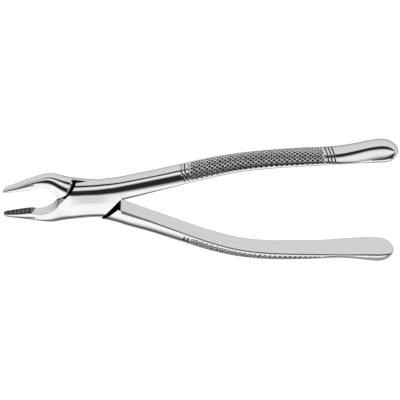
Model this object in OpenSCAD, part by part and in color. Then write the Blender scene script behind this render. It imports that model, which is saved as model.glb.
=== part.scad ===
// Dental extraction forceps: two crossed halves on one pivot screw, with cross-cut hollowed beaks.
// Millimetres. Origin: pivot axis where it meets the rear joint face, on which the forceps rests.
// +Z along the pivot, rear face to front face. +X from the pivot to the handle ends, beaks at -X.
// +Y towards the handle of the front half. Shown partly open, the two halves equally turned.

/* [Joint] */
// Thickness of the box joint along the pivot, before its rear face is ground flat
joint_thick = 9.4; // [8:0.1:12]
// Depth ground off the rear joint face
ground_off = 0.15; // [0.05:0.05:0.3]
// Distance from the pivot to a lap plate's straight edge beside the other half's beak
plate_reach = 9.7; // [9:0.1:11]
// Distance from the pivot to its straight edge beside the other half's handle
plate_back_reach = 10; // [9:0.1:11]
// Slope of the lap plate's edges, degrees from the X axis
plate_slope = 54; // [45:1:65]
// Angle the front half turns from rest until the tips almost meet
closing_turn = 17; // [10:0.5:20]
// Angle the front half turns from rest to fully open
opening_turn = 14; // [10:0.5:20]
// Gap kept between a plate's edge and the shoulder of the other half
shoulder_gap = 0.15; // [0.05:0.01:0.3]
// Distance from the pivot to the straight shoulder of each handle
handle_shoulder = 11.8; // [11.4:0.1:12]
// Angle between that shoulder and the plate edge beside it
shoulder_turn = 8; // [6:0.5:12]
// Width of the chamfer on the shoulder beside each beak
shoulder_chamfer = 1; // [0.4:0.1:1.4]
// Gap between the two lap faces
lap_gap = 0.05; // [0.02:0.01:0.1]

/* [Pivot screw] */
// Diameter of the shoulder that the rear half turns on
shoulder_d = 6.2; // [5:0.1:7]
// Radial running clearance round the shoulder and under the head
run_gap = 0.04; // [0.02:0.01:0.08]
// Diameter of the end fixed in the front half
stem_d = 4.4; // [3.5:0.1:5]
// Radial gap round that end, filled by its thread
stem_gap = 0.02; // [0.01:0.01:0.05]
// Length of that end, short of the front face
stem_length = 3.4; // [2.5:0.1:3.8]
// Diameter of the countersunk head
head_d = 8.6; // [7.5:0.1:9.5]
// Depth of the head's top below the rear joint face
head_recess = 0.5; // [0.4:0.05:0.8]
// Height of the head's straight rim
head_rim = 0.5; // [0.3:0.1:1]
// Width of the driver slot
slot_width = 1.0; // [0.8:0.1:1.4]
// Depth of the driver slot
slot_depth = 0.8; // [0.5:0.1:1.2]

/* [Beaks] */
// Distance from the pivot to the beak tips
beak_length = 38; // [34:0.5:42]
// Depth of the hollow along the gripping face
hollow_depth = 0.6; // [0.3:0.1:1.2]
// Distance between cross teeth on the gripping face
tooth_pitch = 1.8; // [1.2:0.1:3]
// Height of the cross teeth
tooth_height = 0.3; // [0:0.05:0.5]

/* [Handles] */
// Distance from the pivot to the handle ends
handle_length = 139.5; // [125:0.5:150]
// Depth of the ring grooves at both ends of the grip
groove_depth = 0.4; // [0.2:0.1:0.8]

/* [Hidden] */
$fn = 64;
lap_height = joint_thick / 2 - ground_off;
// Tables of [distance from the pivot, value], both in mm, smoothed by along()
handle_inner = [[10, 1.8], [14, 2.6], [19, 4.4], [28, 7.9], [37, 11.5], [46, 15.2], [56, 18.9],
    [67, 22.3], [80, 24.5], [93, 25.5], [106, 26.1], [118, 26.6], [128, 26.9], [140, 27.2]];
handle_outer = [[-14, 9.6], [-5, 9.6], [0, 9.9], [6, 10.4], [12, 11.6], [19, 13.7], [28, 16.4],
    [37, 19.5], [46, 22.7], [56, 26.1], [67, 28.9], [80, 30.6], [93, 31], [106, 30.9], [115, 31.2],
    [121, 32.2], [128, 33.7], [132, 34.2], [140, 34.4]];
handle_crown = [[-14, 5.2], [0, 5.2], [10, 5.6], [22, 5.8], [28, 6], [37, 6.2], [46, 6.2], [56, 5.8],
    [67, 5.3], [80, 4.8], [93, 4.3], [106, 3.6], [118, 4.2], [128, 5], [140, 5.4]];
beak_outer = [[-38, 7.5], [-35, 8.4], [-31, 9.4], [-26, 11], [-21.5, 12.3], [-18.3, 13.1],
    [-16.5, 13.2], [-14.5, 12.9], [-12, 12.2], [-9, 11.4], [-4, 10.5], [1, 9.8], [6, 9.3], [14, 9.4]];
beak_crown = [[-38, 0.6], [-31, 0.9], [-26, 1.2], [-21.5, 2], [-17, 3.6], [-12, 5], [-4, 5], [6, 4.6],
    [14, 4]];
beak_inner = [[-38, 6.2], [-31, 6.5], [-27, 6.6], [-25.5, 6.7], [-24, 7.2], [-21.5, 7.6], [-19, 7.2],
    [-17, 6.3], [-14.8, 4.4], [-13.5, 2.5], [-12.7, 0.2]];
width_table = [[-38, 2.5], [-31, 4], [-26, 4.4], [-21.5, 4.9], [-17, 5.8], [-14.5, 6.9], [-12, 8.1],
    [-9, 9], [-7, joint_thick], [-6.5, joint_thick], [6.5, joint_thick], [7, joint_thick], [12, 9.1],
    [19, 8.7], [28, 8.4], [37, 8.7], [46, 8.8], [56, 9], [67, 9.1], [80, 9.4], [93, 10], [106, 10.5],
    [118, 12], [127, 12.5], [140, 12.5]];
middle_table = [[-38, 2.9], [-31, 1.5], [-26, 0.5], [-21.5, -0.1], [-17, -0.5], [-13, -0.4], [-9, -0.1],
    [-7, 0], [-6.5, 0], [6.5, 0], [7, 0], [12, 0.6], [19, 1.5], [28, 2.2], [37, 2.9], [46, 3.6],
    [56, 4.3], [67, 4.8], [80, 4.8], [93, 4.2], [106, 3.5], [118, 2.4], [127, 1.7], [140, 1.7]];
// Powers that shape the rounded backs: a high flat leaves the back flatter, a low turn leaves a crease
handle_flat = [[-14, 3], [46, 3], [60, 2.3], [106, 2.2], [118, 2.6], [140, 2.6]];
handle_turn = [[-14, 2], [46, 2], [60, 2.1], [106, 1.9], [116, 1.2], [140, 1.1]];
beak_flat = [[-38, 5], [-22, 5], [-15, 3], [14, 3]];
// Extra rounding of a handle's back near the joint, at its rear edge
handle_drop = [[-4, 0], [4, 2], [12, 2], [24, 0]];
// Ring grooves at the start and the end of the grip
groove_places = [43.4, 45, 107.2, 108.7, 110.2];
// Places of the rings along a half, closer together where the shape turns fast
stations = concat(
    [for (i = [0:5]) -beak_length + 1.6 * (1 - cos(i * 18))],
    [for (x = [-36:tooth_pitch / 4:-26]) x],
    [-25.6, -25, -24.3, -23.4, -22.4, -21.4, -20.2, -19, -18, -17, -16.2, -15.4, -14.7, -14.1, -13.6,
     -13.2, -13, -12.85, -12.7, -12.55, -12.4, -11.8, -10.8, -9.6, -8.4, -7.2, -6.5, -4, -1.5, 1,
     3.5, 6.5, 7.2, 8.6, 10, 11.4, 12.6, 13.6, 13.8, 14, 14.2, 14.4, 14.7, 15.4, 16.6],
    [for (x = [18:2.4:42]) x], [42.9, 43.4, 43.9, 44.5, 45, 45.5], [for (x = [48:3:105]) x], [106.6],
    [for (x = [107.2:0.75:110.2]) x], [110.8, 112.6], [for (x = [115:2:131]) x],
    [for (i = [0:8]) handle_length - 8 + 8 * sin(i * 11.25)]);
points_a_ring = 26;

function chord(p, i) = (p[i + 1][1] - p[i][1]) / (p[i + 1][0] - p[i][0]);
function slope_at(p, i) = i == 0 ? chord(p, 0) : i == len(p) - 1 ? chord(p, i - 1) :
    (chord(p, i - 1) * (p[i + 1][0] - p[i][0]) + chord(p, i) * (p[i][0] - p[i - 1][0]))
    / (p[i + 1][0] - p[i - 1][0]);
function place(p, x, i = 0) = i >= len(p) - 2 || x < p[i + 1][0] ? i : place(p, x, i + 1);
function limit(v, low, high) = max(low, min(high, v));
// Smooth value of a table at x, held level past both ends
function along(p, x) = let (c = limit(x, p[0][0], p[len(p) - 1][0]), i = place(p, c),
    h = p[i + 1][0] - p[i][0], t = (c - p[i][0]) / h)
    (2 * pow(t, 3) - 3 * pow(t, 2) + 1) * p[i][1] + (pow(t, 3) - 2 * pow(t, 2) + t) * h * slope_at(p, i)
    + (3 * pow(t, 2) - 2 * pow(t, 3)) * p[i + 1][1] + (pow(t, 3) - pow(t, 2)) * h * slope_at(p, i + 1);
function mix(a, b, t) = a + (b - a) * t;
function ramp(low, high, x) = let (t = limit((x - low) / (high - low), 0, 1)) t * t * (3 - 2 * t);
// Falls from 1 at start to least at stop, like the edge of a disc
function round_off(start, stop, least, x) =
    mix(least, 1, sqrt(max(0, 1 - pow(limit((x - start) / (stop - start), 0, 1), 2.3))));
// Where the high side turns from beak to handle, and the low side likewise
function high_turn(x) = ramp(-13, -12.4, x);
function low_turn(x) = ramp(13.6, 14.7, x);
// Depth of the ring grooves at x
function groove(x) = groove_depth * max([for (g = groove_places) max(0, 1 - abs(x - g) / 0.45)]);

// Height of a rounded side across its width, 1 in the middle and 0 at both edges
function arch(s, flat, turn) = pow(max(0, 1 - pow(abs(s), flat)), 1 / turn);
// Saw-tooth wave along the gripping face, 0 to 1
function tooth(x) = abs(2 * (x / tooth_pitch - floor(x / tooth_pitch)) - 1);
// X of a straight edge at y, at the plate's slope and this reach from the pivot
function edge_x(y, reach) = (y * cos(plate_slope) - reach) / sin(plate_slope);

// One closed ring of the front half at x, high side first. High side: beak's gripping face, then the
// handle's rounded back. Low side: beak's rounded back, then the handle's flat face.
function ring(x) = let (
    high = high_turn(x), low = low_turn(x),
    tip = round_off(-36.4, -beak_length, 0.12, x),
    stop = round_off(131.5, handle_length, 0.06, x),
    curl = 1.6 * pow(limit((x - 134) / (handle_length - 134), 0, 1), 2),
    half_width = along(width_table, x) * tip * stop / 2 - groove(x) * 0.4,
    middle = along(middle_table, x),
    outer = mix(-along(beak_inner, x), along(handle_outer, x), high),
    inner = mix(-along(beak_outer, x), along(handle_inner, x), low),
    base = inner + curl + (x < -36 ? (outer - inner) * (1 - tip) : 0),
    top = x < -36 ? outer : mix(base, outer, stop) - groove(x),
    deep = top - base,
    high_round = min(deep * 0.84, mix(0.35, along(handle_crown, x) * stop, high)),
    low_round = min(deep * (low > 0 ? 0.14 : 0.6), mix(along(beak_crown, x), 0.35, low)),
    cup = tip * (1 - ramp(-26.4, -25.4, x)))
    concat(
        [for (a = [-90:15:90]) [x,
            top - along(handle_drop, x) * pow(min(sin(a), 0), 2)
                - high_round * (1 - arch(sin(a), mix(5, along(handle_flat, x), high),
                    mix(5, along(handle_turn, x), high)))
                - cup * (hollow_depth + tooth_height * tooth(x + sin(a) * half_width / 2)) * pow(cos(a), 2),
            middle + half_width * sin(a)]],
        [for (a = [90:-15:-90]) [x,
            base + low_round * (1 - arch(sin(a), mix(along(beak_flat, x), 14, low), mix(2, 1.2, low))),
            middle + half_width * sin(a)]]);

// The front half before the joint is cut, with its lap faces meeting at Z = 0
module blank() {
    last = len(stations) - 1;
    n = points_a_ring;
    difference() {
        polyhedron(points = [for (x = stations) each ring(x)], convexity = 8, faces = concat(
            [[for (j = [0:n - 1]) j], [for (j = [n - 1:-1:0]) last * n + j]],
            [for (i = [0:last - 1], j = [0:n - 1], k = [0, 1]) let (
                a = i * n + j, b = i * n + (j + 1) % n)
                k == 0 ? [a, a + n, b + n] : [a, b + n, b]]));
        // Beyond the plate's straight edges, beside the beak and beside the handle
        translate([0, 0, -20]) linear_extrude(40) {
            polygon([[edge_x(-1.5, plate_reach), -1.5], [edge_x(16, plate_reach), 16],
                [-20, 16], [-20, -1.5]]);
            polygon([[-edge_x(-2.95, plate_back_reach), 2.95], [-edge_x(16, plate_back_reach), -16],
                [20, -16], [20, 2.95]]);
        }
    }
}

// Room for the other half's plate as it turns, above the lap plane. Beside the beak it ends in a
// shallow V with a chamfer, and beside the handle in one straight shoulder.
module lap_room() {
    reach = plate_reach + shoulder_gap;
    for (turn = [-closing_turn, 0, opening_turn])
        rotate([0, 0, -plate_slope - turn]) translate([-40, -reach, -lap_gap / 2]) cube([80, reach, 20]);
    rotate([0, 0, -plate_slope - opening_turn]) translate([-40, -reach, joint_thick / 2 - shoulder_chamfer])
        rotate([45, 0, 0]) cube([80, 20, 20]);
    rotate([0, 0, shoulder_turn - plate_slope])
        translate([-40, -2, -lap_gap / 2]) cube([80, handle_shoulder + 2, 20]);
}

module front_half() color([0.64, 0.636, 0.63]) difference() {
    translate([0, 0, lap_height]) difference() {
        blank();
        mirror([0, 0, 1]) lap_room();
    }
    translate([-60, -60, -20]) cube([220, 120, 20]);
    translate([0, 0, lap_height - 1]) cylinder(d = stem_d + 2 * stem_gap, h = stem_length + 1 + stem_gap);
}

module rear_half() color([0.62, 0.616, 0.61]) difference() {
    translate([0, 0, lap_height]) mirror([0, 1, 0]) difference() {
        blank();
        lap_room();
    }
    translate([-60, -60, -20]) cube([220, 120, 20]);
    rotate_extrude() polygon([[0, -1], [head_d / 2 + run_gap, -1],
        [head_d / 2 + run_gap, head_recess + head_rim + run_gap],
        [shoulder_d / 2 + run_gap, head_recess + head_rim + run_gap + (head_d - shoulder_d) / 2],
        [shoulder_d / 2 + run_gap, lap_height + 1], [0, lap_height + 1]]);
}

module pivot_screw() color([0.7, 0.7, 0.7]) difference() {
    rotate_extrude() polygon([[0, head_recess], [head_d / 2, head_recess],
        [head_d / 2, head_recess + head_rim],
        [shoulder_d / 2, head_recess + head_rim + (head_d - shoulder_d) / 2],
        [shoulder_d / 2, lap_height + lap_gap / 2], [stem_d / 2, lap_height + lap_gap / 2],
        [stem_d / 2, lap_height + stem_length], [0, lap_height + stem_length]]);
    translate([-head_d, -slot_width / 2, head_recess - 1]) cube([2 * head_d, slot_width, slot_depth + 1]);
}

front_half();
rear_half();
pivot_screw();
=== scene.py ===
"""Dental extraction forceps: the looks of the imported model. Lengths are in millimetres until to_metres."""
import math

import bmesh
import bpy
import numpy as np
from mathutils import Matrix, Vector


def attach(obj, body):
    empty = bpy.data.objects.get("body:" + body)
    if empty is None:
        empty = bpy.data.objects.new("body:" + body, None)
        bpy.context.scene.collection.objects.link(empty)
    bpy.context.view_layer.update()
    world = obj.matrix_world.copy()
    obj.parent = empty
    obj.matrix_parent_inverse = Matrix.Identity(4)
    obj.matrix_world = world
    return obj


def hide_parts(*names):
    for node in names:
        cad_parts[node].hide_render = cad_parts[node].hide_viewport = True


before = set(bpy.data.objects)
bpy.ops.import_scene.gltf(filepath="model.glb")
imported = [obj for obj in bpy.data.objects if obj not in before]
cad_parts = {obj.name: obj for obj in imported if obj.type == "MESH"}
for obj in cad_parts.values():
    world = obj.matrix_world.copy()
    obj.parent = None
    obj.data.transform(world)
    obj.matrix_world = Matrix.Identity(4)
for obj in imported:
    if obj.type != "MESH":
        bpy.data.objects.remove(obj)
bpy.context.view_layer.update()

# ---------------------------------------------------------------- materials
GRAZING_TINT = 0.2
STREAK_SCALE, STREAK_DETAIL, STREAK_DEPTH = (40, 1400, 1400), 3, 0.06
STREAK_FROM, STREAK_TO = 0.3, 0.7


def steel(name, color, rough, groove=0.15, low=0.42, high=0.495):
    """Steel with painted shade in its cuts: its colour darkens where the surface is hollow. groove is the
    share of the colour left at the bottom of one; low and high are the pointiness at which the painted shade
    is full and at which it ends."""
    material = bpy.data.materials.new(name)
    material.use_nodes = True
    nodes, links = material.node_tree.nodes, material.node_tree.links
    shader = nodes["Principled BSDF"]
    shader.inputs["Metallic"].default_value = 1
    shader.inputs["Roughness"].default_value = rough
    shader.inputs["Specular Tint"].default_value = (GRAZING_TINT, GRAZING_TINT, GRAZING_TINT, 1)
    # painted shade: pointiness darkens the base colour in cuts, pits and grooves
    geometry = nodes.new("ShaderNodeNewGeometry")
    cut_shade = nodes.new("ShaderNodeValToRGB")
    first, last = cut_shade.color_ramp.elements
    first.position, first.color = low, (*[c * groove for c in color], 1)
    last.position, last.color = high, (*color, 1)
    links.new(geometry.outputs["Pointiness"], cut_shade.inputs[0])
    # faint polishing streaks along the piece
    place = nodes.new("ShaderNodeTexCoord")
    stretch = nodes.new("ShaderNodeMapping")
    stretch.inputs["Scale"].default_value = STREAK_SCALE
    noise = nodes.new("ShaderNodeTexNoise")
    noise.inputs["Scale"].default_value = 1
    noise.inputs["Detail"].default_value = STREAK_DETAIL
    tone = nodes.new("ShaderNodeMapRange")
    tone.inputs["From Min"].default_value, tone.inputs["From Max"].default_value = STREAK_FROM, STREAK_TO
    tone.inputs["To Min"].default_value, tone.inputs["To Max"].default_value = 1 - STREAK_DEPTH, 1
    blend = nodes.new("ShaderNodeMix")
    blend.data_type, blend.blend_type = "RGBA", "MULTIPLY"
    blend.inputs["Factor"].default_value = 1
    links.new(place.outputs["Object"], stretch.inputs["Vector"])
    links.new(stretch.outputs[0], noise.inputs["Vector"])
    links.new(noise.outputs["Fac"], tone.inputs["Value"])
    links.new(cut_shade.outputs[0], blend.inputs["A"])
    links.new(tone.outputs[0], blend.inputs["B"])
    links.new(blend.outputs["Result"], shader.inputs["Base Color"])
    return material


polished = steel("polished_steel", (0.64, 0.636, 0.63), 0.06)
cut_steel = steel("cut_steel", (0.62, 0.615, 0.61), 0.12, 0.35, 0.42, 0.5)
# painted shade: near-black steel in the pits of the knurl
pit_shade_steel = steel("pit_shade_steel", (0.05, 0.049, 0.048), 0.25, 0.3, 0.4, 0.5)
lap_steel = steel("lap_steel", (0.5, 0.5, 0.5), 0.15)
# painted dark reflection and shade: near-black steel beside the flat faces, at the handle's end and in the
# ring grooves
painted_dark_steel = steel("painted_dark_steel", (0.13, 0.13, 0.13), 0.15)
jaw_steel = steel("jaw_steel", (0.2, 0.195, 0.19), 0.3, 0.1, 0.46, 0.53)
# painted shadow: near-black steel on the walls of the pockets and gaps at the joint
pocket_shadow_steel = steel("pocket_shadow_steel", (0.02, 0.02, 0.02), 0.2)
screw_steel = steel("screw_steel", (0.7, 0.7, 0.7), 0.2)

# the finishes of a half, in the order of its material slots
FINISHES = (polished, cut_steel, pocket_shadow_steel, pit_shade_steel, jaw_steel, painted_dark_steel, lap_steel)
POLISHED, CUT, POCKET_SHADOW, PIT_SHADE, JAW, PAINTED_DARK, LAP_FACE = range(len(FINISHES))

# ---------------------------------------------------------------- shape of one half
# The same as in part.scad, apart from HANDLE_DROP, the slant of the far ring grooves, the knurl, the raised
# front face and the bevel along the shoulder.
JOINT, GROUND, LAP_GAP = 9.4, 0.15, 0.05
LAP = JOINT / 2 - GROUND
REACH, BACK_REACH, SLOPE, SHOULDER_GAP = 9.7, 10.0, 54.0, 0.15
CLOSING, OPENING = 17.0, 14.0
SHOULDER, SHOULDER_BEHIND, SHOULDER_TURN, CHAMFER = 11.8, 2, 8.0, 1.0
# where the cuts beside the beak and the handle start, how far they go, and the half length of a turned band
BEAK_CUT, HANDLE_CUT, WALL, ACROSS, BAND = -1.5, 2.95, 16, 20, 40
BEAK, HANDLE = 38.0, 139.5
GROOVE, HOLLOW, PITCH, TOOTH = 0.4, 0.6, 1.8, 0.3
HANDLE_INNER = [(10, 1.8), (14, 2.6), (19, 4.4), (28, 7.9), (37, 11.5), (46, 15.2), (56, 18.9),
                (67, 22.3), (80, 24.5), (93, 25.5), (106, 26.1), (118, 26.6), (128, 26.9), (140, 27.2)]
HANDLE_OUTER = [(-14, 9.6), (-5, 9.6), (0, 9.9), (6, 10.4), (12, 11.6), (19, 13.7), (28, 16.4),
                (37, 19.5), (46, 22.7), (56, 26.1), (67, 28.9), (80, 30.6), (93, 31), (106, 30.9),
                (115, 31.2), (121, 32.2), (128, 33.7), (132, 34.2), (140, 34.4)]
HANDLE_CROWN = [(-14, 5.2), (0, 5.2), (10, 5.6), (22, 5.8), (28, 6), (37, 6.2), (46, 6.2), (56, 5.8),
                (67, 5.3), (80, 4.8), (93, 4.3), (106, 3.6), (118, 4.2), (128, 5), (140, 5.4)]
BEAK_OUTER = [(-38, 7.5), (-35, 8.4), (-31, 9.4), (-26, 11), (-21.5, 12.3), (-18.3, 13.1), (-16.5, 13.2),
              (-14.5, 12.9), (-12, 12.2), (-9, 11.4), (-4, 10.5), (1, 9.8), (6, 9.3), (14, 9.4)]
BEAK_CROWN = [(-38, 0.6), (-31, 0.9), (-26, 1.2), (-21.5, 2), (-17, 3.6), (-12, 5), (-4, 5), (6, 4.6),
              (14, 4)]
BEAK_INNER = [(-38, 6.2), (-31, 6.5), (-27, 6.6), (-25.5, 6.7), (-24, 7.2), (-21.5, 7.6), (-19, 7.2),
              (-17, 6.3), (-14.8, 4.4), (-13.5, 2.5), (-12.7, 0.2)]
WIDTH = [(-38, 2.5), (-31, 4), (-26, 4.4), (-21.5, 4.9), (-17, 5.8), (-14.5, 6.9), (-12, 8.1), (-9, 9),
         (-7, JOINT), (-6.5, JOINT), (6.5, JOINT), (7, JOINT), (12, 9.1), (19, 8.7), (28, 8.4), (37, 8.7),
         (46, 8.8), (56, 9), (67, 9.1), (80, 9.4), (93, 10), (106, 10.5), (118, 12), (127, 12.5),
         (140, 12.5)]
MIDDLE = [(-38, 2.9), (-31, 1.5), (-26, 0.5), (-21.5, -0.1), (-17, -0.5), (-13, -0.4), (-9, -0.1),
          (-7, 0), (-6.5, 0), (6.5, 0), (7, 0), (12, 0.6), (19, 1.5), (28, 2.2), (37, 2.9), (46, 3.6),
          (56, 4.3), (67, 4.8), (80, 4.8), (93, 4.2), (106, 3.5), (118, 2.4), (127, 1.7), (140, 1.7)]

HANDLE_FLAT = [(-14, 3), (46, 3), (60, 2.3), (106, 2.2), (118, 2.6), (140, 2.6)]
HANDLE_TURN = [(-14, 2), (46, 2), (60, 2.1), (106, 1.9), (116, 1.2), (140, 1.1)]
BEAK_FLAT = [(-38, 5), (-22, 5), (-15, 3), (14, 3)]
HANDLE_DROP = [(-4, 0), (4, 3.2), (10, 2.6), (24, 0)]
# where the beak turns into the plate and the plate into the handle
BEAK_NECK, HANDLE_NECK = (-13, -12.4), (13.6, 14.7)
TIP_ROUND, TIP_LEAST, TIP_SLOPE, TIP_RUN = -36.4, 0.12, -36, 1.6
END_ROUND, END_LEAST, END_RUN = 131.5, 0.06, 8
CURL, CURL_START = 1.6, 134
CUP_END = (-26.4, -25.4)
ROUND_POWER = 2.3
# roundness of the narrow faces: how much of the section it may take, and the shape of its arch
BACK_SHARE, INNER_SHARE, BEAK_SHARE = 0.84, 0.14, 0.6
CORNER, FACE_FLAT, FACE_TURN, BEAK_FACE, BEAK_TURN = 0.35, 14, 1.2, 5, 2


def along(table, x):
    """The smooth curve through a table, held level past both ends."""
    p = np.array(table, float)
    px, py = p[:, 0], p[:, 1]
    h = np.diff(px)
    d = np.diff(py) / h
    m = np.concatenate([[d[0]], (d[:-1] * h[1:] + d[1:] * h[:-1]) / (h[1:] + h[:-1]), [d[-1]]])
    c = np.clip(x, px[0], px[-1])
    i = np.clip(np.searchsorted(px, c, side="right") - 1, 0, len(px) - 2)
    t = (c - px[i]) / h[i]
    return ((2 * t**3 - 3 * t**2 + 1) * py[i] + (t**3 - 2 * t**2 + t) * h[i] * m[i]
            + (3 * t**2 - 2 * t**3) * py[i + 1] + (t**3 - t**2) * h[i] * m[i + 1])


def ramp(low, high, x):
    """A smooth step from 0 at low to 1 at high."""
    t = np.clip((x - low) / (high - low), 0, 1)
    return t * t * (3 - 2 * t)


def mix(a, b, t):
    return a + (b - a) * t


def round_off(start, stop, least, x):
    """1 up to start, falling to least at stop as the end of a rounded bar does."""
    t = np.clip((x - start) / (stop - start), 0, 1)
    return mix(least, 1, np.sqrt(np.clip(1 - t**ROUND_POWER, 0, None)))


def arch(s, flat, turn):
    """A rounded profile over -1 to 1. A larger flat or turn makes it fuller."""
    return np.clip(1 - np.abs(s) ** flat, 0, None) ** (1 / turn)


def valley(x, places, half_width):
    """1 at the bottom of V grooves at the places, 0 outside them."""
    return np.max([np.clip(1 - np.abs(x - place) / half_width, 0, 1) for place in places], axis=0)


# angles round a ring, over the side away from the gap and back over the other one
HIGH_ARC = np.radians(np.linspace(-90, 90, 97))
LOW_ARC = np.radians(np.linspace(90, -90, 41))
THIRDS = (0.33, 0.67)
GRIP_START, GRIP_END, GRIP_FADE = 46.6, 105.8, 0.2
NEAR_RINGS, FAR_RINGS, RING_HALF = [43.6, 45.2], [107.2, 108.7, 110.2], 0.42
RING_TURN, RING_SLANT = 0.33, 0.22
GRIP_FACE_END, GRIP_FACE_LEAN = -24.6, 0.3
LINE_START, LINE_END, LINE_TAPER, LINE_TAPER_SPAN, LINE_GAP = 2, 7, 5, (-32, -24), (-24, 15)
BLUNT_START = 138.9
BULGE, BULGE_RISE, BULGE_FALL = 0.24, (-13, -1), (3, 22)
BEVEL, BEVEL_END = 1.1, -1
KNURL_LONG, KNURL_WIDE, KNURL_DEEP, RIDGE = 2.3, 1.75, 0.42, 0.2
FLAT_RIM = (0.96, 0.995)
PIT_LEVEL, RING_LEVEL = 0.09, 0.4
TINY = 1e-9


def stations():
    """Places along X of the rings of points, close together where the surface has detail."""
    def span(start, stop, step):
        return np.arange(start, stop - step * 0.3, step)
    quarter = np.arange(0, 13) / 12 * math.pi / 2
    tip = -BEAK + TIP_RUN * (1 - np.cos(quarter))
    end = HANDLE - END_RUN + END_RUN * np.sin(quarter)
    spans = ((-36.2, -25, 0.18), (-25, -14, 0.35), (-14, -13, 0.2), (-13, -12.4, 0.06), (-12.4, -2, 0.15),
             (-2, 13.6, 0.5), (13.6, 14.7, 0.1), (14.7, 42.4, 0.8), (42.4, 46.4, 0.1), (46.4, 104.6, 0.2),
             (104.6, 112.6, 0.12), (112.6, 131.5, 0.7))
    return np.unique(np.round(np.concatenate([tip, *[span(*each) for each in spans], end]), 4))


def beyond_shoulder(x, y):
    """How far a point of the front half lies beyond the shoulder beside the beak."""
    turns = np.radians([-SLOPE - t for t in (-CLOSING, 0, OPENING)])
    return np.min([-REACH - SHOULDER_GAP + x * np.sin(a) - y * np.cos(a) for a in turns], axis=0)


def outward(y, z):
    """Unit normals of a ring's points, in the plane of the ring."""
    dy, dz = np.gradient(y, axis=1), np.gradient(z, axis=1)
    size = np.sqrt(dy**2 + dz**2) + TINY
    return dz / size, -dy / size


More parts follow.
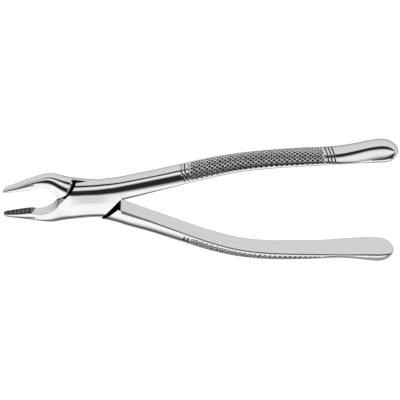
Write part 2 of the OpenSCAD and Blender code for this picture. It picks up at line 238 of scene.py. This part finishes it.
def surface(side):
    """Rings of points of the front half, as (rings, points, 3), its lap plane at Z = 0, and two masks: the
    pits of the knurl and the ring grooves. The side says on which face the beak's shoulder is bevelled."""
    x = stations()[:, None]
    high, low = ramp(*BEAK_NECK, x), ramp(*HANDLE_NECK, x)
    tip = round_off(TIP_ROUND, -BEAK, TIP_LEAST, x)
    stop = round_off(END_ROUND, HANDLE, END_LEAST, x)
    curl = CURL * np.clip((x - CURL_START) / (HANDLE - CURL_START), 0, 1) ** 2
    half_width = along(WIDTH, x) * tip * stop / 2
    middle = along(MIDDLE, x)
    outer = mix(-along(BEAK_INNER, x), along(HANDLE_OUTER, x), high)
    inner = mix(-along(BEAK_OUTER, x), along(HANDLE_INNER, x), low)
    base = inner + curl + np.where(x < TIP_SLOPE, (outer - inner) * (1 - tip), 0)
    top = np.where(x < TIP_SLOPE, outer, mix(base, outer, stop))
    deep = top - base
    high_round = np.minimum(deep * BACK_SHARE, mix(CORNER, along(HANDLE_CROWN, x) * stop, high))
    low_round = np.minimum(deep * np.where(low > 0, INNER_SHARE, BEAK_SHARE),
                           mix(along(BEAK_CROWN, x), CORNER, low))

    # the handle's back and the beak's gripping face, hollowed and cross-toothed
    s = np.sin(HIGH_ARC)[None, :]
    wave = (x + s * half_width / 2) / PITCH
    wave = np.abs(2 * (wave - np.floor(wave)) - 1)
    back_shape = arch(s, mix(BEAK_FACE, along(HANDLE_FLAT, x), high),
                      mix(BEAK_FACE, along(HANDLE_TURN, x), high))
    y_high = top - along(HANDLE_DROP, x) * np.minimum(s, 0) ** 2 - high_round * (1 - back_shape)
    cup = tip * (1 - ramp(*CUP_END, x))
    y_high = y_high - cup * (HOLLOW + TOOTH * wave) * (1 - s**2)
    z_high = middle + half_width * s

    # the beak's back and the handle's flat inner face
    s_low = np.sin(LOW_ARC)[None, :]
    low_shape = arch(s_low, mix(along(BEAK_FLAT, x), FACE_FLAT, low), mix(BEAK_TURN, FACE_TURN, low))
    y_low = base + low_round * (1 - low_shape)
    z_low = middle + half_width * s_low
    # bevel along the shoulder beside the beak, on the face where the other half's plate lies
    ny, nz = outward(y_low, z_low)
    worn = np.clip(BEVEL - beyond_shoulder(x, y_low), 0, BEVEL) * (side * z_low < 0) * (x < BEVEL_END)
    y_low, z_low = y_low - ny * worn, z_low - nz * worn

    # ring grooves, square to the handle at the start of the grip and slanting at its end
    ny, nz = outward(y_high, z_high)
    turned = x + RING_TURN * (y_high - (top + base) / 2)
    slanted = x - RING_SLANT * (z_high - middle)
    rings = np.maximum(valley(turned, NEAR_RINGS, RING_HALF), valley(slanted, FAR_RINGS, RING_HALF))
    # diamond knurl: two crossing families of V grooves
    steps = np.sqrt(np.diff(y_high, axis=1) ** 2 + np.diff(z_high, axis=1) ** 2)
    across = np.cumsum(np.concatenate([np.zeros((len(x), 1)), steps], 1), 1)
    across = across - across[:, len(HIGH_ARC) // 2][:, None]
    lead = x / KNURL_LONG
    one, two = lead + across / KNURL_WIDE, lead - across / KNURL_WIDE
    groove = np.minimum(*[2 * np.abs(k - np.floor(k) - 0.5) for k in (one, two)])
    groove = np.clip((groove - RIDGE) / (1 - RIDGE), 0, 1)
    ends = (ramp(GRIP_START - GRIP_FADE, GRIP_START + GRIP_FADE, turned)
            * (1 - ramp(GRIP_END - GRIP_FADE, GRIP_END + GRIP_FADE, slanted)))
    rim = 1 - ramp(*FLAT_RIM, np.abs(s))
    cut = (GROOVE * rings + KNURL_DEEP * groove * ends) * rim
    y_high, z_high = y_high - ny * cut, z_high - nz * cut

    # strips that join the two sides, the near one raised a little over the joint
    bulge = BULGE * ramp(*BULGE_RISE, x) * (1 - ramp(*BULGE_FALL, x))
    near = [np.concatenate([mix(y_high[:, -1:], y_low[:, :1], t) for t in THIRDS], 1),
            np.concatenate([mix(z_high[:, -1:], z_low[:, :1], t) + bulge for t in THIRDS], 1)]
    far = [np.concatenate([mix(y_low[:, -1:], y_high[:, :1], t) for t in THIRDS], 1),
           np.concatenate([mix(z_low[:, -1:], z_high[:, :1], t) for t in THIRDS], 1)]
    y = np.concatenate([y_high, near[0], y_low, far[0]], 1)
    z = np.concatenate([z_high, near[1], z_low, far[1]], 1)
    return np.stack([np.broadcast_to(x, y.shape), y, z], -1), groove * ends > PIT_LEVEL, rings > RING_LEVEL


def mesh_object(name, points, faces):
    """A mesh from points in millimetres."""
    mesh = bpy.data.meshes.new(name)
    mesh.from_pydata(np.asarray(points, float).tolist(), [], faces)
    mesh.validate()
    o = bpy.data.objects.new(name, mesh)
    bpy.context.scene.collection.objects.link(o)
    return o


def half(name, side):
    """side 1 is the front half; -1 mirrors it in Y. The lap plane stays at Z = 0."""
    grid, pit_shade_mask, rings = surface(side)
    count, n, _ = grid.shape
    pts = grid.reshape(-1, 3) * [1, side, 1]
    last = (count - 1) * n
    faces = []
    for i in range(count - 1):
        for j in range(n):
            a, b = i * n + j, i * n + (j + 1) % n
            faces.append((a, b, b + n, a + n) if side > 0 else (a, a + n, b + n, b))
    ends = [list(range(n))[::-1], [last + j for j in range(n)]]
    faces += ends if side > 0 else [e[::-1] for e in ends]
    o = mesh_object(name, pts, faces)
    for material in FINISHES:
        o.data.materials.append(material)
    back = len(HIGH_ARC) - 1
    for f, polygon in enumerate(o.data.polygons[:last]):
        i, j = divmod(f, n)
        x = grid[i, 0, 0]
        # painted dark reflection, as darker steel, in a line beside the flat faces, narrowing along the beak,
        # and at the handle's end
        line_end = back + LINE_END - LINE_TAPER * (x < 0) * ramp(*LINE_TAPER_SPAN, x)
        in_line = back + LINE_START <= j < line_end and not LINE_GAP[0] <= x <= LINE_GAP[1]
        if in_line or x > BLUNT_START:
            polygon.material_index = PAINTED_DARK
        if j >= back:
            continue
        # painted shade: the knurl's pits take the near-black pit finish
        if GRIP_START < x < GRIP_END:
            polygon.material_index = PIT_SHADE if pit_shade_mask[i, j] else CUT
        elif x + GRIP_FACE_LEAN * grid[i, j, 2] < GRIP_FACE_END:
            polygon.material_index = JAW
        # painted shade in the ring grooves
        elif rings[i, j]:
            polygon.material_index = PAINTED_DARK
    return o


def prism(name, corners, z0, z1, last=None):
    """A closed solid from corners at z0 to the same number at z1, which are the same corners if not given."""
    n = len(corners)
    pts = [(x, y, z0) for x, y in corners] + [(x, y, z1) for x, y in last or corners]
    faces = [tuple(range(n))[::-1], tuple(range(n, 2 * n))]
    faces += [(i, (i + 1) % n, n + (i + 1) % n, n + i) for i in range(n)]
    o = mesh_object(name, pts, faces)
    fix_normals(o)
    return o


def spun(name, profile, count=96):
    """A closed solid turned about Z from (radius, z) pairs that start and end on the axis."""
    inner = profile[1:-1]
    pts = [(0, 0, profile[0][1])]
    turns = [2 * math.pi * k / count for k in range(count)]
    for r, z in inner:
        pts += [(r * math.cos(turn), r * math.sin(turn), z) for turn in turns]
    pts.append((0, 0, profile[-1][1]))
    end = len(pts) - 1
    faces = []
    for k in range(count):
        q = (k + 1) % count
        faces.append((0, 1 + k, 1 + q))
        for i in range(len(inner) - 1):
            a = 1 + i * count
            faces.append((a + k, a + count + k, a + count + q, a + q))
        a = 1 + (len(inner) - 1) * count
        faces.append((a + k, end, a + q))
    o = mesh_object(name, pts, faces)
    fix_normals(o)
    return o


def fix_normals(o):
    """Turns every face of a closed mesh outwards."""
    bm = bmesh.new()
    bm.from_mesh(o.data)
    bmesh.ops.recalc_face_normals(bm, faces=bm.faces)
    bm.to_mesh(o.data)
    bm.free()


def subtract(o, cutters, finish=POLISHED):
    """Cuts the cutters out of o; the new faces take the finish of that number."""
    for c in cutters:
        for material in o.data.materials:
            c.data.materials.append(material)
        for p in c.data.polygons:
            p.material_index = finish
        cut = o.modifiers.new("cut", "BOOLEAN")
        cut.operation, cut.solver, cut.object = "DIFFERENCE", "MANIFOLD", c
        bake_modifiers(o)
        bpy.data.objects.remove(c)


def bake_modifiers(o):
    """Replaces the mesh by what its modifiers make of it."""
    bpy.context.view_layer.update()
    got = bpy.data.meshes.new_from_object(o.evaluated_get(bpy.context.evaluated_depsgraph_get()))
    old = o.data
    o.modifiers.clear()
    o.data = got
    bpy.data.meshes.remove(old)


def edge_x(y, reach):
    """X of a plate's straight edge at a height Y."""
    a = math.radians(SLOPE)
    return (y * math.cos(a) - reach) / math.sin(a)


def strip(turn, side, z0, z1, low, high, flare=0):
    """Room for the other half's plate: a band through the pivot from low to high, turned from its place at
    rest. A flare moves the low side out by that share of the height, away from z0."""
    a = math.radians(-SLOPE - turn)
    u, v = (math.cos(a), math.sin(a)), (-math.sin(a), math.cos(a))

    def outline(low):
        return [(u[0] * p + v[0] * q, side * (u[1] * p + v[1] * q))
                for p, q in ((-BAND, low), (BAND, low), (BAND, high), (-BAND, high))]

    first, last = outline(low), outline(low - flare * abs(z1 - z0))
    return prism("cutter", first, z0, z1, last)


def cut_joint(o, side):
    """Cuts the half down to its own plate at the joint, with room for the other half's plate to turn."""
    beside_beak = [(edge_x(BEAK_CUT, REACH), BEAK_CUT), (edge_x(WALL, REACH), WALL), (-ACROSS, WALL),
                   (-ACROSS, BEAK_CUT)]
    beside_handle = [(-edge_x(-HANDLE_CUT, BACK_REACH), HANDLE_CUT), (-edge_x(WALL, BACK_REACH), -WALL),
                     (ACROSS, -WALL), (ACROSS, HANDLE_CUT)]
    blanks = [prism("cutter", [(x, side * y) for x, y in c], -ACROSS, ACROSS)
              for c in (beside_beak, beside_handle)]
    z0, z1 = (-ACROSS, LAP_GAP / 2) if side > 0 else (-LAP_GAP / 2, ACROSS)
    low = -REACH - SHOULDER_GAP
    room = [strip(-SHOULDER_TURN, side, z0, z1, -SHOULDER_BEHIND, SHOULDER)]
    room += [strip(turn, side, z0, z1, low, 0) for turn in (-CLOSING, 0, OPENING)]
    subtract(o, blanks[:1], LAP_FACE)
    # painted shadow: the walls cut beside the handle and for the other plate's room take the near-black
    # pocket finish
    subtract(o, blanks[1:] + room, POCKET_SHADOW)
    chamfer = strip(OPENING, side, -side * (JOINT / 2 - CHAMFER), -side * ACROSS, low, 0, 1)
    corners = [(-60, -60), (160, -60), (160, 60), (-60, 60)]
    ground = prism("cutter", corners, -30, -LAP)
    subtract(o, [chamfer, ground])


def shade(o, degrees):
    """Smooth shading with sharp edges above that angle."""
    for p in o.data.polygons:
        p.use_smooth = True
    o.data.set_sharp_from_angle(angle=math.radians(degrees))


def lift(o, dz):
    o.data.transform(Matrix.Translation((0, 0, dz)))


def to_metres(o):
    o.data.transform(Matrix.Scale(0.001, 4))


# ---------------------------------------------------------------- the two halves and the screw
HEAD, SHAFT, STEM, RUN, RECESS, HEAD_EDGE = 4.3, 3.1, 2.2, 0.04, 0.5, 0.5
HEAD_ROUND, STEM_LENGTH, SLOT_HALF, SLOT_DEPTH, SLOT_REACH = 0.15, 3.4, 0.5, 0.8, 8
HALF_SHARP, SCREW_SHARP = 24, 30
cone_start = RECESS + HEAD_EDGE
cone_end = cone_start + HEAD - SHAFT

front = half("front_half_skin", 1)
cut_joint(front, 1)
rear = half("rear_half_skin", -1)
cut_joint(rear, -1)
for o in (front, rear):
    lift(o, LAP)
subtract(rear, [spun("cutter", [(0, -1), (HEAD + RUN, -1), (HEAD + RUN, cone_start + RUN),
                                (SHAFT + RUN, cone_end + RUN), (SHAFT + RUN, LAP + 1), (0, LAP + 1)])])
for o, body, node, slot in ((front, "front", "front_half", "polished_steel"),
                            (rear, "rear", "rear_half", "polished_steel_rear")):
    to_metres(o)
    shade(o, HALF_SHARP)
    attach(o, body)
    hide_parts(node)

screw = spun("pivot_screw_skin", [(0, RECESS), (HEAD - HEAD_ROUND, RECESS), (HEAD, RECESS + HEAD_ROUND),
                                  (HEAD, cone_start), (SHAFT, cone_end), (SHAFT, LAP), (STEM, LAP),
                                  (STEM, LAP + STEM_LENGTH), (0, LAP + STEM_LENGTH)])
screw.data.materials.append(screw_steel)
slot_corners = [(-SLOT_REACH, -SLOT_HALF), (SLOT_REACH, -SLOT_HALF), (SLOT_REACH, SLOT_HALF),
                (-SLOT_REACH, SLOT_HALF)]
subtract(screw, [prism("cutter", slot_corners, RECESS - 1, RECESS + SLOT_DEPTH)])
to_metres(screw)
shade(screw, SCREW_SHARP)
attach(screw, "front")
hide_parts("pivot_screw")

# ---------------------------------------------------------------- floor and light
FLOOR_HALF, FLOOR_DEPTH, FLOOR_TOP = 1500, -5, -0.05
FLOOR_GREY, FLOOR_LIGHT = 0.1, 1.0
floor_mesh = prism("floor", [(-FLOOR_HALF, -FLOOR_HALF), (FLOOR_HALF, -FLOOR_HALF), (FLOOR_HALF, FLOOR_HALF),
                             (-FLOOR_HALF, FLOOR_HALF)], FLOOR_DEPTH, FLOOR_TOP)
to_metres(floor_mesh)
floor_white = bpy.data.materials.new("floor_white")
floor_white.use_nodes = True
shader = floor_white.node_tree.nodes["Principled BSDF"]
shader.inputs["Base Color"].default_value = (FLOOR_GREY, FLOOR_GREY, FLOOR_GREY, 1)
shader.inputs["Roughness"].default_value = 1
shader.inputs["Specular IOR Level"].default_value = 0
shader.inputs["Emission Color"].default_value = (1, 1, 1, 1)
shader.inputs["Emission Strength"].default_value = FLOOR_LIGHT
floor_mesh.data.materials.append(floor_white)

world = bpy.data.worlds.new("studio")
bpy.context.scene.world = world
world.use_nodes = True
tree = world.node_tree
tree.nodes.clear()


def node(kind, **values):
    made = tree.nodes.new(kind)
    for key, value in values.items():
        setattr(made, key, value)
    return made


def link(a, b):
    tree.links.new(a, b)


def math_node(operation, *values):
    made = node("ShaderNodeMath", operation=operation)
    for socket, value in zip(made.inputs, values):
        if isinstance(value, (int, float)):
            socket.default_value = value
        else:
            link(value, socket)
    return made.outputs[0]


# soft light bands with dark gaps between them, by the angle from straight up towards +Y, in degrees
BANDS = [(-180, 0.6), (-95, 0.5), (-88, 0.05), (-75, 0.12), (-62, 0.5), (-52, 1.2), (-44, 1.55), (-39, 1.45),
         (-31, 0.6), (-25, 0.03), (6, 0.03), (13, 0.4), (20, 1.2), (34, 1.35), (50, 1.15), (59, 0.2),
         (64, 0.03), (90, 0.03), (94, 0.5), (180, 0.6)]
coordinates = node("ShaderNodeTexCoord")
direction = node("ShaderNodeSeparateXYZ")
link(coordinates.outputs["Generated"], direction.inputs[0])
angle = math_node("DEGREES", math_node("ARCTAN2", direction.outputs["Y"], direction.outputs["Z"]))
bands = node("ShaderNodeValToRGB")
bands.color_ramp.interpolation = "LINEAR"
elements = bands.color_ramp.elements
while len(elements) > 1:
    elements.remove(elements[-1])
for i, (degrees, strength) in enumerate(BANDS):
    position = degrees / 360 + 0.5
    element = elements[0] if i == 0 else elements.new(position)
    element.position = position
    element.color = (strength, strength, strength, 1)
link(math_node("ADD", math_node("DIVIDE", angle, 360), 0.5), bands.inputs[0])
# the camera sees the surroundings as plain white
path = node("ShaderNodeLightPath")
plain = node("ShaderNodeMix", data_type="RGBA")
link(path.outputs["Is Camera Ray"], plain.inputs["Factor"])
link(bands.outputs[0], plain.inputs["A"])
plain.inputs["B"].default_value = (1, 1, 1, 1)
background = node("ShaderNodeBackground")
link(plain.outputs["Result"], background.inputs["Color"])
background.inputs["Strength"].default_value = 1.0
output = node("ShaderNodeOutputWorld")
link(background.outputs[0], output.inputs["Surface"])
bpy.context.scene.view_settings.view_transform = "Standard"
bpy.context.scene.view_settings.look = "None"

# ---------------------------------------------------------------- camera, tilted from straight above
TILT = math.radians(40)
FAR, VIEW_WIDTH, VIEW_X, VIEW_UP = 1600.0, 181.2, 50.9625, -0.8607
SENSOR, CLIP_END = 36, 20
back = Vector((0, math.sin(TILT), math.cos(TILT)))
up = Vector((0, math.cos(TILT), -math.sin(TILT)))
right = Vector((1, 0, 0))
target = Vector((VIEW_X, 0, LAP)) + up * VIEW_UP
camera_data = bpy.data.cameras.new("camera")
camera = bpy.data.objects.new("camera", camera_data)
bpy.context.scene.collection.objects.link(camera)
turn = Matrix((right, up, back)).transposed().to_4x4()
camera.matrix_world = Matrix.Translation((target + back * FAR) / 1000) @ turn
camera_data.sensor_width = SENSOR
camera_data.lens = SENSOR * FAR / VIEW_WIDTH
camera_data.clip_end = CLIP_END
bpy.context.scene.camera = camera
